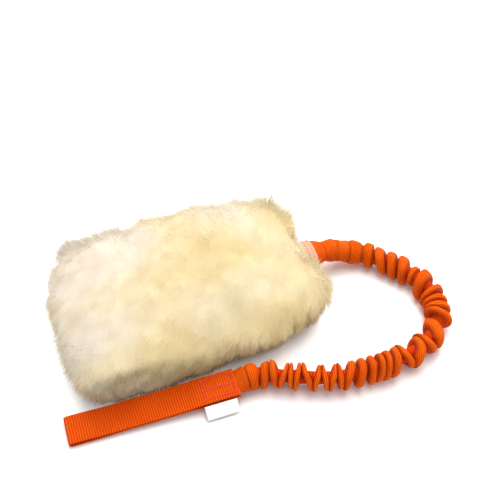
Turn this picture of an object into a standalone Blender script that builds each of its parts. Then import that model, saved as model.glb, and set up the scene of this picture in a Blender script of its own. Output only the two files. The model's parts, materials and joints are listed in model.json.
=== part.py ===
"""A dog training bumper: a double-sided sheepskin pad on an elastic bungee with a webbing hand loop.

The pad lies on the plane z = 0 with its long side along X and the bungee leaving its +X end. The bungee curls
round the pad's -Y side, so the hand loop lies beside the pad. Metres, +Z up.
"""

import math

import bmesh
import bpy
from mathutils import Matrix, Vector

MM = 0.001
GAP = 0.3 * MM

# Pad: two sheepskin panels sewn back to back, wool outwards, with a thin felt core between them.
PAD_LENGTH = 208 * MM
PAD_WIDTH = 132 * MM
PAD_ASIDE = 3.8 * MM
PAD_HEIGHT = 57 * MM
PAD_CROWN = 6 * MM
PAD_TAPER = 0.055
PAD_MIDDLE = 27 * MM
PILE = 22 * MM
HIDE_LENGTH = PAD_LENGTH - 2 * PILE
HIDE_WIDTH = PAD_WIDTH - 2 * PILE - 2 * PAD_ASIDE
HIDE_CORNER = 18 * MM
HIDE_INNER = 3.5 * MM
HIDE_OUTER = 5.0 * MM
CORE_BOTTOM = -3.2 * MM
CORE_TOP = 0.2 * MM
SPLIT_X = -14 * MM
SPLIT_SLOPE = 0.2
SPLIT_HALF_GAP = 0.6 * MM
SEAM_RADIUS = 0.8 * MM
THREAD_RADIUS = 0.4 * MM

# Webbing: one width and one thickness for the anchor strap and the hand loop.
WEB_WIDTH = 25 * MM
WEB_THICKNESS = 1.6 * MM
STRAP_START = 30 * MM
STRAP_END = 87 * MM

# Neck: a stitched cuff slopes down out of the wool to the first swivel.
NECK_PIVOT = Vector((119 * MM, -1.5 * MM, 21.5 * MM))
NECK_LENGTH = 34 * MM
NECK_HEADING = math.radians(-12)
CUFF_LENGTH = 28 * MM
CUFF_PITCH = math.radians(11)
CUFF_HALF_WIDTH = 13.5 * MM
CUFF_HALF_HEIGHT = 5.5 * MM
CUFF_WALL = 1.2 * MM

# Bungee: ten equal links of gathered sleeve over an elastic cord, and how far each turns from the last one.
LINK_LENGTH = 27.4 * MM
LINK_BENDS = [math.radians(bend) for bend in (-28, -17, -25, -31, -32, -27, -9, -11, -12, -5)]
SLEEVE_RADIUS = 11.5 * MM
SLEEVE_BORE = 4.8 * MM
SLEEVE_END = 2.6 * MM
CORD_RADIUS = 3.5 * MM
CORD_START = 3.0 * MM
CORD_END = 2.8 * MM
TACK_RADIUS = 2.4 * MM
BUNGEE_HEIGHT = SLEEVE_RADIUS + 0.1 * MM

# Hand loop: flat webbing folded back on itself, its two ends sewn over the flattened end of the sleeve.
HANDLE_BEND = math.radians(23)
HANDLE_PITCH = math.radians(3.2)
PLY_OFFSET = 1.9 * MM
PLY_START = 20 * MM
NECK_PLY_END = 49 * MM
LEG_LENGTH = 51.5 * MM
LEG_END_GAP = 0.9 * MM
OPEN_PIVOT_GAP = 1.5 * MM
LABEL_LENGTH = 26 * MM
LABEL_DEPTH = 12.5 * MM
LABEL_THICKNESS = 0.8 * MM
LABEL_CENTRE = 36 * MM
LABEL_DROOP = math.radians(-42)

WOOL = ("wool", (0.86, 0.76, 0.56), 0.95)
HIDE = ("hide", (0.78, 0.66, 0.50), 0.80)
FELT = ("felt", (0.80, 0.78, 0.72), 0.95)
THREAD = ("thread", (0.80, 0.70, 0.52), 0.70)
APRICOT = ("apricot_webbing", (0.86, 0.52, 0.33), 0.75)
ORANGE = ("orange_webbing", (0.86, 0.17, 0.01), 0.65)
ORANGE_THREAD = ("orange_thread", (0.62, 0.09, 0.01), 0.60)
ELASTIC = ("elastic", (0.72, 0.70, 0.66), 0.60)
LABEL = ("label_cloth", (0.86, 0.86, 0.86), 0.70)


def clear_scene():
    for item in list(bpy.data.objects):
        bpy.data.objects.remove(item)


def new_collection(name):
    collection = bpy.data.collections.new(name)
    bpy.context.scene.collection.children.link(collection)
    return collection


def material(kind):
    """The Principled material of one kind, made the first time it is asked for."""
    name, colour, roughness = kind
    found = bpy.data.materials.get(name)
    if found is None:
        found = bpy.data.materials.new(name)
        found.use_nodes = True
        shader = found.node_tree.nodes["Principled BSDF"]
        shader.inputs["Base Color"].default_value = (*colour, 1)
        shader.inputs["Roughness"].default_value = roughness
        shader.inputs["Metallic"].default_value = 0
    return found


def place(name, data, kind, parent=None, matrix=None):
    """Adds a named part to the bumper's collection, under its joint's empty."""
    part = bpy.data.objects.new(name, data)
    parts.objects.link(part)
    if kind is not None:
        data.materials.append(material(kind))
    part.parent = parent
    part.matrix_basis = matrix or Matrix.Identity(4)
    return part


def pivot(name, parent, location, rotation=(0, 0, 0)):
    """An empty on a joint's axis. What it carries turns or slides with it."""
    empty = bpy.data.objects.new(name, None)
    parts.objects.link(empty)
    empty.parent = parent
    empty.location = location
    empty.rotation_euler = rotation
    empty.empty_display_size = 0.01
    return empty


def mesh_from(bm, name):
    bmesh.ops.recalc_face_normals(bm, faces=bm.faces)
    mesh = bpy.data.meshes.new(name)
    bm.to_mesh(mesh)
    bm.free()
    return mesh


def box_mesh(name, low, high):
    bm = bmesh.new()
    size = Vector(high) - Vector(low)
    centre = (Vector(high) + Vector(low)) / 2
    matrix = Matrix.Translation(centre) @ Matrix.Diagonal((*size, 1))
    bmesh.ops.create_cube(bm, size=1, matrix=matrix)
    return mesh_from(bm, name)


def add_cutter(name, mesh, matrix=None):
    cutter = bpy.data.objects.new(name, mesh)
    cutters.objects.link(cutter)
    cutter.matrix_basis = matrix or Matrix.Identity(4)
    cutter.hide_render = True
    cutter.display_type = "WIRE"
    return cutter


def boolean(part, cutter, operation):
    modifier = part.modifiers.new(cutter.name, "BOOLEAN")
    modifier.operation = operation
    modifier.object = cutter
    modifier.solver = "EXACT"


def turned_mesh(name, profile, steps=12, closed=False):
    """A closed solid turned about X from (along, radius) points that run towards +X on its outside.

    With closed set the profile is a ring that never meets the axis, so the solid has a bore.
    """
    bm = bmesh.new()
    verts = [bm.verts.new((along, 0, radius)) for along, radius in profile]
    edges = [bm.edges.new(pair) for pair in zip(verts, verts[1:])]
    if closed:
        edges.append(bm.edges.new((verts[-1], verts[0])))
    bmesh.ops.spin(
        bm, geom=verts + edges, axis=(1, 0, 0), cent=(0, 0, 0), angle=2 * math.pi, steps=steps, use_merge=True
    )
    bmesh.ops.remove_doubles(bm, verts=bm.verts, dist=1e-6)
    mesh = mesh_from(bm, name)
    mesh.shade_smooth()
    mesh.set_sharp_from_angle(angle=math.radians(40))
    return mesh


def wire(name, points, radius, kind, parent=None):
    """A round thread through the points, with closed ends."""
    curve = bpy.data.curves.new(name, "CURVE")
    curve.dimensions = "3D"
    curve.bevel_depth = radius
    curve.bevel_resolution = 1
    curve.use_fill_caps = True
    spline = curve.splines.new("POLY")
    spline.points.add(len(points) - 1)
    for target, point in zip(spline.points, points):
        target.co = (*point, 1)
    return place(name, curve, kind, parent)


def arc(centre, radius, start, end, steps):
    """Points on a circular arc in the XY plane; the angles are in degrees."""
    angles = [math.radians(start + (end - start) * step / steps) for step in range(steps + 1)]
    return [(centre[0] + radius * math.cos(angle), centre[1] + radius * math.sin(angle)) for angle in angles]


def half_outline(length, width, corner, start):
    """The +X half of a rounded rectangle, from the -Y side of the cut round to its +Y side."""
    x = length / 2 - corner
    y = width / 2 - corner
    return (
        [(start, -width / 2)]
        + arc((x, -y), corner, -90, 0, 4)
        + arc((x, y), corner, 0, 90, 4)
        + [(start, width / 2)]
    )


def plate(name, outline, bottom, top, kind, turn):
    """A flat panel with the given outline between two heights, turned about Z by the given angle."""
    curve = bpy.data.curves.new(name, "CURVE")
    curve.dimensions = "2D"
    curve.fill_mode = "BOTH"
    curve.extrude = (top - bottom) / 2
    spline = curve.splines.new("POLY")
    spline.use_cyclic_u = True
    spline.points.add(len(outline) - 1)
    for target, point in zip(spline.points, outline):
        target.co = (*point, 0, 1)
    matrix = Matrix.Translation((0, 0, (top + bottom) / 2)) @ Matrix.Rotation(turn, 4, "Z")
    return place(name, curve, kind, matrix=matrix)


def pad_pillow(name):
    """The whole pad as a soft rounded cage: flat below, crowned, narrower at the neck, fuller at the far side."""
    bm = bmesh.new()
    bmesh.ops.create_cube(bm, size=1)
    bmesh.ops.subdivide_edges(bm, edges=bm.edges, cuts=3, use_grid_fill=True)
    for vert in bm.verts:
        across = (1 - 4 * vert.co.x**2) * (1 - 4 * vert.co.y**2)
        lift = PAD_CROWN * across if vert.co.z > 0.49 else 0
        narrowing = 1 - 2 * PAD_TAPER * vert.co.x
        vert.co.x *= PAD_LENGTH
        vert.co.y = vert.co.y * PAD_WIDTH * narrowing + PAD_ASIDE
        vert.co.z = (vert.co.z + 0.5) * (PAD_HEIGHT - PAD_CROWN) + lift
    return mesh_from(bm, name)


def quarter_cutter(name, x_sign, z_sign):
    """A block over one quarter of the pad. Its inner face leans back so that the halves can fold together."""
    mesh = box_mesh(name, (0, -PAD_WIDTH, 0), (PAD_LENGTH, PAD_WIDTH, PAD_HEIGHT))
    for vert in mesh.vertices:
        rise = vert.co.z
        reach = SPLIT_HALF_GAP + SPLIT_SLOPE * rise if vert.co.x < PAD_LENGTH / 2 else vert.co.x
        vert.co.x = SPLIT_X + x_sign * reach
        vert.co.z = PAD_MIDDLE + z_sign * (rise + GAP / 2)
    if x_sign * z_sign < 0:
        mesh.flip_normals()
    return add_cutter(name, mesh)


def make_wool():
    pocket = box_mesh(
        "pocket",
        (-HIDE_LENGTH / 2 - 4 * MM, -HIDE_WIDTH / 2 - 4 * MM, PAD_MIDDLE - HIDE_OUTER - GAP),
        (HIDE_LENGTH / 2 + 4 * MM, HIDE_WIDTH / 2 + 4 * MM, PAD_MIDDLE + HIDE_OUTER + GAP),
    )
    pocket = add_cutter("hide_pocket", pocket)
    mouth = box_mesh("mouth", (-CUFF_LENGTH - 12 * MM, -17 * MM, -8 * MM), (0, 17 * MM, 8 * MM))
    slope = Matrix.Translation(NECK_PIVOT) @ Matrix.Rotation(CUFF_PITCH, 4, "Y")
    mouth = add_cutter("cuff_mouth", mouth, slope)
    for x_sign, side in ((1, "front"), (-1, "rear")):
        for z_sign, level in ((1, "top"), (-1, "bottom")):
            name = f"wool_{level}_{side}"
            wool = place(name, pad_pillow(name), WOOL)
            soft = wool.modifiers.new("soft", "SUBSURF")
            soft.levels = 1
            soft.render_levels = 1
            boolean(wool, quarter_cutter(f"{side}_{level}_quarter", x_sign, z_sign), "INTERSECT")
            boolean(wool, pocket, "DIFFERENCE")
            if x_sign > 0:
                boolean(wool, mouth, "DIFFERENCE")


def make_pad_inside():
    """The hide panels, the felt core and the cord that whips the two hides together round their edge."""
    for x_sign, side in ((1, "front"), (-1, "rear")):
        start = x_sign * SPLIT_X + SPLIT_HALF_GAP + MM
        hide = half_outline(HIDE_LENGTH, HIDE_WIDTH, HIDE_CORNER, start)
        core = half_outline(HIDE_LENGTH - 6 * MM, HIDE_WIDTH - 6 * MM, HIDE_CORNER, start)
        edge = half_outline(HIDE_LENGTH + 3 * MM, HIDE_WIDTH + 3 * MM, HIDE_CORNER, start)
        turn = 0 if x_sign > 0 else math.pi
        plate(f"hide_top_{side}", hide, PAD_MIDDLE + HIDE_INNER, PAD_MIDDLE + HIDE_OUTER, HIDE, turn)
        plate(f"hide_bottom_{side}", hide, PAD_MIDDLE - HIDE_OUTER, PAD_MIDDLE - HIDE_INNER, HIDE, turn)
        plate(f"felt_core_{side}", core, PAD_MIDDLE + CORE_BOTTOM, PAD_MIDDLE + CORE_TOP, FELT, turn)
        seam = [(x_sign * x, x_sign * y, PAD_MIDDLE - 1.0 * MM) for x, y in edge]
        wire(f"edge_seam_{side}", seam, SEAM_RADIUS, THREAD)


def make_anchor():
    """The strap sewn between the hides, and the zigzag that holds it."""
    bottom = PAD_MIDDLE + CORE_TOP + GAP
    low = (STRAP_START, -WEB_WIDTH / 2, bottom)
    high = (STRAP_END, WEB_WIDTH / 2, bottom + WEB_THICKNESS)
    place("anchor_strap", box_mesh("anchor_strap", low, high), APRICOT)
    level = bottom + WEB_THICKNESS + GAP + THREAD_RADIUS
    stitches = zigzag(STRAP_START + 8 * MM, 30 * MM, 9 * MM, 10, level)
    wire("anchor_stitches", stitches, THREAD_RADIUS, ORANGE_THREAD)


def zigzag(start, length, half_width, strokes, level):
    """Points of a zigzag along X that crosses from side to side once a stroke."""
    step = length / strokes
    return [(start + step * count, half_width * (-1) ** count, level) for count in range(strokes + 1)]


def make_cuff():
    """The stitched cuff: a flattened tube that slopes down out of the wool, up to the neck swivel."""
    bm = bmesh.new()
    turn = Matrix.Rotation(math.pi / 2, 4, "Y")
    bmesh.ops.create_cone(
        bm, cap_ends=False, segments=20, radius1=1, radius2=1, depth=CUFF_LENGTH, matrix=turn
    )
    for vert in bm.verts:
        vert.co.y *= CUFF_HALF_WIDTH
        vert.co.z *= CUFF_HALF_HEIGHT
        vert.co.x -= CUFF_LENGTH / 2 + TACK_RADIUS + 0.6 * MM
    slope = Matrix.Translation(NECK_PIVOT) @ Matrix.Rotation(CUFF_PITCH, 4, "Y")
    cuff = place("neck_cuff", mesh_from(bm, "neck_cuff"), APRICOT, matrix=slope)
    wall = cuff.modifiers.new("wall", "SOLIDIFY")
    wall.thickness = CUFF_WALL
    wall.offset = -1


def tack_mesh(name):
    bm = bmesh.new()
    bmesh.ops.create_uvsphere(bm, u_segments=12, v_segments=8, radius=TACK_RADIUS)
    mesh = mesh_from(bm, name)
    mesh.shade_smooth()
    return mesh


def cord_mesh(name, start, end):
    """The elastic cord between two distances along its link, with chamfered ends."""
    chamfer = 0.6 * MM
    profile = [(start, 0), (start, CORD_RADIUS - chamfer), (start + chamfer, CORD_RADIUS)]
    profile += [(end - chamfer, CORD_RADIUS), (end, CORD_RADIUS - chamfer), (end, 0)]
    return turned_mesh(name, profile)


def sleeve_mesh(name, length):
    """One link of gathered sleeve: a bored barrel with soft puckers, drawn in at its ends."""
    puckers = 3
    shoulder = 5.4 * MM
    span = length - 2 * (SLEEVE_END + shoulder)
    outside = [(SLEEVE_END, 6.2 * MM), (SLEEVE_END + 2 * MM, 10 * MM)]
    for count in range(2 * puckers - 1):
        along = SLEEVE_END + shoulder + span * count / (2 * puckers - 2)
        outside.append((along, SLEEVE_RADIUS - (count % 2) * 1.3 * MM))
    outside += [(length - SLEEVE_END - 2 * MM, 10 * MM), (length - SLEEVE_END, 6.2 * MM)]
    bore = [(length - SLEEVE_END, SLEEVE_BORE), (SLEEVE_END, SLEEVE_BORE)]
    return turned_mesh(name, outside + bore, closed=True)


def make_neck():
    """The first, un-gathered stretch of sleeve, which swings and tilts on the end of the cuff."""
    swing = pivot("neck_swing_axis", None, NECK_PIVOT, (0, 0, NECK_HEADING))
    place("neck_cord_tack", tack_mesh("neck_cord_tack"), ELASTIC, swing)
    pitch = math.asin((NECK_PIVOT.z - BUNGEE_HEIGHT) / NECK_LENGTH)
    tilt = pivot("neck_tilt_axis", swing, (0, 0, 0), (0, pitch, 0))
    sleeve = sleeve_mesh("neck_sleeve", NECK_LENGTH)
    sleeve.transform(Matrix.Diagonal((1, 1, 0.82, 1)))
    place("neck_sleeve", sleeve, ORANGE, tilt)
    place("neck_cord", cord_mesh("neck_cord", CORD_START, NECK_LENGTH - CORD_END), ELASTIC, tilt)
    return pivot("neck_end", tilt, (NECK_LENGTH, 0, 0), (0, -pitch, 0))


def make_bungee(start):
    """Ten links. Each turns on the last one's cord, and its own cord slides out as the elastic stretches."""
    carrier = start
    reach = 0
    for count, bend in enumerate(LINK_BENDS, 1):
        hinge = pivot(f"link_{count:02d}_axis", carrier, (reach, 0, 0), (0, 0, bend))
        place(f"sleeve_{count:02d}", sleeve_mesh(f"sleeve_{count:02d}", LINK_LENGTH), ORANGE, hinge)
        carrier = pivot(f"link_{count:02d}_slide", hinge, (0, 0, 0))
        cord = cord_mesh(f"elastic_cord_{count:02d}", CORD_START, LINK_LENGTH - CORD_END)
        place(f"elastic_cord_{count:02d}", cord, ELASTIC, carrier)
        reach = LINK_LENGTH
    return carrier


def strip_mesh(name, start, end, level):
    """A length of loop webbing along X, centred on the given height."""
    low = (start, -WEB_WIDTH / 2, level - WEB_THICKNESS / 2)
    high = (end, WEB_WIDTH / 2, level + WEB_THICKNESS / 2)
    return box_mesh(name, low, high)


def strip_from(name, start, end, hinge):
    """A length of loop webbing that turns on the hinge line through its own middle."""
    return place(name, strip_mesh(name, start, end, 0), ORANGE, hinge)


def fold_curve(name, parent):
    """The end of the loop, where the webbing turns back under itself in a half circle."""
    outer = PLY_OFFSET + WEB_THICKNESS / 2
    inner = PLY_OFFSET - WEB_THICKNESS / 2
    outline = arc((0, -PLY_OFFSET), outer, -90, 90, 6) + arc((0, -PLY_OFFSET), inner, 90, -90, 6)
    curve = bpy.data.curves.new(name, "CURVE")
    curve.dimensions = "2D"
    curve.fill_mode = "BOTH"
    curve.extrude = WEB_WIDTH / 2
    spline = curve.splines.new("POLY")
    spline.use_cyclic_u = True
    spline.points.add(len(outline) - 1)
    for target, point in zip(spline.points, outline):
        target.co = (*point, 0, 1)
    offset = Matrix.Translation((LEG_LENGTH - LEG_END_GAP + GAP, 0, 0))
    return place(name, curve, ORANGE, parent, offset @ Matrix.Rotation(math.pi / 2, 4, "X"))


def make_handle(carrier):
    """The hand loop. It swings, lifts and twists on the bungee's end, and its plies open to let a hand in."""
    swing = pivot("handle_swing_axis", carrier, (LINK_LENGTH, 0, 0), (0, 0, HANDLE_BEND))
    place("handle_cord_tack", tack_mesh("handle_cord_tack"), ELASTIC, swing)
    lift = pivot("handle_lift_axis", swing, (0, 0, 0), (0, HANDLE_PITCH, 0))
    bead = [(3, 0), (3, 4.2), (5.4, 7.4), (8, 10), (14, 9.6), (18.4, 5), (18.4, 0)]
    bead = [(along * MM, radius * MM) for along, radius in bead]
    place("sleeve_end", turned_mesh("sleeve_end", bead), ORANGE, lift)
    neck = pivot("handle_twist_axis", lift, (0, 0, 0))
    half = WEB_THICKNESS / 2
    low = (PLY_START - MM, -11 * MM, -half)
    tongue = box_mesh("sleeve_tongue", low, (NECK_PLY_END - 4 * MM, 11 * MM, half))
    place("sleeve_tongue", tongue, ORANGE, neck)
    neck_ply = strip_mesh("loop_top_neck", PLY_START, NECK_PLY_END - LEG_END_GAP, PLY_OFFSET)
    place("loop_top_neck", neck_ply, ORANGE, neck)
    middle = NECK_PLY_END + LEG_LENGTH
    bottom_near = strip_mesh("loop_bottom_near", PLY_START, middle - LEG_END_GAP, -PLY_OFFSET)
    place("loop_bottom_near", bottom_near, ORANGE, neck)
    level = PLY_OFFSET + WEB_THICKNESS / 2 + GAP + THREAD_RADIUS
    stitches = zigzag(PLY_START + 3 * MM, 23 * MM, 9.5 * MM, 12, level)
    wire("handle_zigzag", stitches, THREAD_RADIUS, ORANGE_THREAD, neck)
    start = LEG_END_GAP
    end = LEG_LENGTH - LEG_END_GAP
    top_near = pivot("loop_top_near_axis", neck, (NECK_PLY_END, 0, PLY_OFFSET))
    strip_from("loop_top_near", start, end, top_near)
    top_far = pivot("loop_top_far_axis", top_near, (LEG_LENGTH, 0, 0))
    strip_from("loop_top_far", start, end, top_far)
    fold_curve("loop_fold", top_far)
    bottom_far = pivot("loop_bottom_far_axis", neck, (middle, 0, -PLY_OFFSET))
    strip_from("loop_bottom_far", start, LEG_LENGTH - OPEN_PIVOT_GAP, bottom_far)
    make_label(neck)


def make_label(neck):
    """A blank folded cloth label in the loop's near edge. It hangs down to the ground and flips up."""
    hinge = pivot("label_axis", neck, (LABEL_CENTRE, WEB_WIDTH / 2 + 1.0 * MM, 0), (LABEL_DROOP, 0, 0))
    low = (-LABEL_LENGTH / 2, 0.2 * MM, -LABEL_THICKNESS / 2)
    high = (LABEL_LENGTH / 2, LABEL_DEPTH, LABEL_THICKNESS / 2)
    place("cloth_label", box_mesh("cloth_label", low, high), LABEL, hinge)


clear_scene()
parts = new_collection("training_bumper")
cutters = new_collection("cutters")
make_wool()
make_pad_inside()
make_anchor()
make_cuff()
make_handle(make_bungee(make_neck()))
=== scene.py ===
"""The looks of the training bumper: sheepskin pile, gathered bungee sleeve, webbing hand loop and label.

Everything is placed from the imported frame. Metres, +Z up, the pad's long side along X.
"""

import json
import math

import bmesh
import bpy
import numpy as np
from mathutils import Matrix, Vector
from mathutils.kdtree import KDTree


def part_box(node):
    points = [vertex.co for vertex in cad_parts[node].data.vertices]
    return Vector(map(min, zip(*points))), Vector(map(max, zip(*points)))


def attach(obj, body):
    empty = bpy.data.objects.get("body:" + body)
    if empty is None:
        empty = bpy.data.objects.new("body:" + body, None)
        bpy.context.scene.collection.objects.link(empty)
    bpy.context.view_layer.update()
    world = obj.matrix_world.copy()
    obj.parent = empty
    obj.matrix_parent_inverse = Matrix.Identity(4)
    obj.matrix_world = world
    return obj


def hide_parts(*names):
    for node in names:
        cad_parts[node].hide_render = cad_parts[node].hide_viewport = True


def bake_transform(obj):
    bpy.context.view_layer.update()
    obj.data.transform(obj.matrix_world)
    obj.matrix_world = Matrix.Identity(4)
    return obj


MM = 0.001

# Camera and light
CAMERA_AT = (-0.1486, -0.4806, 0.6741)
CAMERA_TARGET = (0.0738, 0.0395, 0.0)
CAMERA_ANGLE = math.radians(28)
SKY_COLOUR = (1.0, 0.985, 0.97, 1)
SKY_STRENGTH = 0.82
LAMPS = (("back_lamp", (0.45, 0.65, 1.15), 1.2, 20), ("top_lamp", (0.25, 0.0, 1.5), 0.9, 9))
FLOOR_HALF = 3.0

# Sheepskin pad
PAD_HALF = np.array([103.0, 69.5, 28.5]) * MM
PAD_SHIFT = 2.5 * MM
PAD_MIDDLE = 26.8 * MM
PAD_SQUARENESS = 4.6
PAD_ROUNDNESS = 2.2
PAD_TAPER = 0.07
REAR_CORNER = np.array([13, 12, 0]) * MM
FRONT_CORNER = 5 * MM
CUFF_DENT = 5 * MM
BEND_HALF = 18 * MM
STRAND_COUNT = 210_000
STRANDS_PER_PIECE = 32_000
STRAND_ROWS = 4
STRAND_LENGTH = 13 * MM
STRAND_HALF_WIDTHS = np.array([0.20, 0.24, 0.17, 0.02]) * MM
CLUMP_SPACING = 8 * MM
PILE_FAR = 85.5 * MM
PILE_TOP = 65.5 * MM
PILE_EDGE = 1.5 * MM
WOOL_TIPS = ((0.25, (0.73, 0.71, 0.66)), (0.50, (0.715, 0.675, 0.535)), (0.80, (0.70, 0.64, 0.42)))
# Roots: a real tan, darkened further as painted shade, since the strands cast no shadows on one another.
WOOL_ROOTS_TAN_AND_PAINTED_SHADE = ((0.25, (0.66, 0.61, 0.53)), (0.80, (0.63, 0.545, 0.36)))
# Dark end of the clump tint: real darker tufts, and painted shade on the sides.
WOOL_TUFT_AND_PAINTED_SHADE = (0.70, 0.56, 0.40)

# Gathered sleeve: each fold's place along the strap, lean, radius, depth and half-thickness, in millimetres.
FOLD_ROWS = 9
AROUND = 64
CAP_SHARE = 0.75
RIB_PITCH = 1.35 * MM
FOLDS = [
    (-9, 0, 10.5, 0.0, 6),
    (-2, 0, 10.6, 0.3, 6),
    (9, 0, 10.0, 1.2, 6),
    (21.5, 0, 10.4, 1.4, 6),
    (34, 0, 10.2, 1.6, 6),
    (46.5, 0.8, 10.4, 3.2, 4),
    (58.3, 3.6, 11.0, 5.8, 4.6),
    (68.4, 3.4, 11.2, 6.2, 4.4),
    (79.0, 3.8, 11.6, 6.2, 4.6),
    (89.5, 2.0, 8.8, 3.2, 2.6),
    (101, 4.4, 12.2, 6.0, 5.6),
    (114.6, 2.2, 11.4, 5.0, 3.0),
    (122.2, 0.2, 10.6, 4.0, 2.6),
    (129.5, -0.6, 11.0, 5.0, 3.0),
    (137, -3.2, 11.2, 5.8, 3.0),
    (154.5, -6.0, 11.4, 6.2, 5.4),
    (168.2, 2.6, 11.0, 6.2, 2.8),
    (179, -6.0, 11.4, 6.2, 4.2),
    (190, 3.0, 10.6, 6.2, 2.8),
    (199.3, -4.6, 11.4, 6.2, 3.8),
    (207.6, -3.6, 11.4, 5.6, 2.6),
    (213.4, -3.0, 11.2, 5.6, 2.4),
    (220.3, -1.8, 11.0, 6.0, 3.0),
    (229.3, -2.7, 11.2, 6.2, 3.4),
    (239.0, -4.4, 11.2, 6.0, 3.4),
    (246.0, 0.4, 10.8, 6.0, 2.4),
    (251.3, -3.2, 10.6, 6.2, 2.4),
    (257.6, 1.8, 10.4, 6.4, 2.3),
    (263.8, -2.4, 10.6, 6.4, 2.3),
    (271.5, 3.8, 10.8, 6.4, 2.6),
    (279.0, -1.6, 11.0, 6.4, 2.3),
    (284.0, 1.2, 10.8, 6.4, 2.2),
    (289.6, -2.2, 10.8, 6.4, 2.5),
    (297.0, 3.4, 10.8, 5.4, 3.4),
    (304.3, -1.2, 10.8, 4.0, 4.0),
    (314.5, 0, 10.2, 3.6, 4.6),
    (323, 0, 10.6, 1.2, 5),
    (331, 0, 11.0, 1.0, 5),
]
VALLEY_RADIUS = 5.0 * MM
# Deep red painted into the sleeve's grooves as painted shade.
GROOVE_PAINTED_SHADE_COLOUR = (0.42, 0.014, 0.001)

# Cuff
CUFF_BACK = 4.5 * MM
CUFF_SLOPE = math.radians(11)
CUFF_HALF_WIDTH = 13.4 * MM
CUFF_HALF_HEIGHT = 5.7 * MM
CUFF_SLANT = 1.0 * MM
CUFF_STITCHES = 30

# Hand loop webbing
WEB_WIDTH = 25 * MM
WEB_THICKNESS = 1.5 * MM
WEB_RIB = 2.0 * MM
LOOP_START = 19.5 * MM
STITCH_SPAN = (22.0, 46.5)

# Label
LABEL_HALF = 13 * MM
LABEL_DEPTH = 10.2 * MM
LABEL_GAP = 0.42 * MM


# ---------------------------------------------------------------- small helpers


def unit(vectors):
    """Vectors of length one, along the last axis."""
    vectors = np.asarray(vectors, float)
    return vectors / np.maximum(np.linalg.norm(vectors, axis=-1, keepdims=True), 1e-12)


def smoothstep(low, high, value):
    share = np.clip((value - low) / (high - low), 0, 1)
    return share * share * (3 - 2 * share)


def soft_noise(points, size, seed, waves=28):
    """Soft random waves through space, mostly between -1 and 1; size is about one hump's width."""
    rng = np.random.default_rng(seed)
    directions = rng.normal(size=(waves, 3)) * (2.2 / size)
    phases = rng.uniform(0, 2 * math.pi, waves)
    return np.cos(points @ directions.T + phases).sum(-1) * math.sqrt(2 / waves) * 0.7


def joint(name):
    return next(item for item in frame["joints"] if item["name"] == name)


def joint_place(name):
    return np.array(joint(name)["pos_m"])


def link_object(name, data):
    item = bpy.data.objects.new(name, data)
    bpy.context.scene.collection.objects.link(item)
    return item


def mesh_object(name, points, faces, material, smooth=True):
    """A mesh from points and faces that all have the same number of corners."""
    points = np.asarray(points, np.float32).reshape(-1, 3)
    faces = np.asarray(faces, np.int32)
    mesh = bpy.data.meshes.new(name)
    mesh.vertices.add(len(points))
    mesh.vertices.foreach_set("co", points.ravel())
    mesh.loops.add(faces.size)
    mesh.loops.foreach_set("vertex_index", faces.ravel())
    mesh.polygons.add(len(faces))
    mesh.polygons.foreach_set("loop_start", np.arange(0, faces.size, faces.shape[1], dtype=np.int32))
    mesh.update(calc_edges=True)
    mesh.materials.append(material)
    if smooth:
        mesh.shade_smooth()
    return link_object(name, mesh)


def set_attribute(item, name, values):
    layer = item.data.attributes.new(name, "FLOAT", "POINT")
    layer.data.foreach_set("value", np.asarray(values, np.float32).ravel())


def grid_faces(rows, columns, wrap):
    """Quads of a grid of rows by columns, whose columns may close into rings."""
    row, column = np.meshgrid(np.arange(rows - 1), np.arange(columns if wrap else columns - 1), indexing="ij")
    after = (column + 1) % columns
    here, above = row * columns, (row + 1) * columns
    return np.stack([here + column, here + after, above + after, above + column], -1).reshape(-1, 4)


def grid_normals(grid, wrap):
    """Smooth normals of a grid of points."""
    along = np.gradient(grid, axis=0)
    if wrap:
        across = np.roll(grid, -1, axis=1) - np.roll(grid, 1, axis=1)
    else:
        across = np.gradient(grid, axis=1)
    return unit(np.cross(across, along))


# ---------------------------------------------------------------- materials


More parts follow.
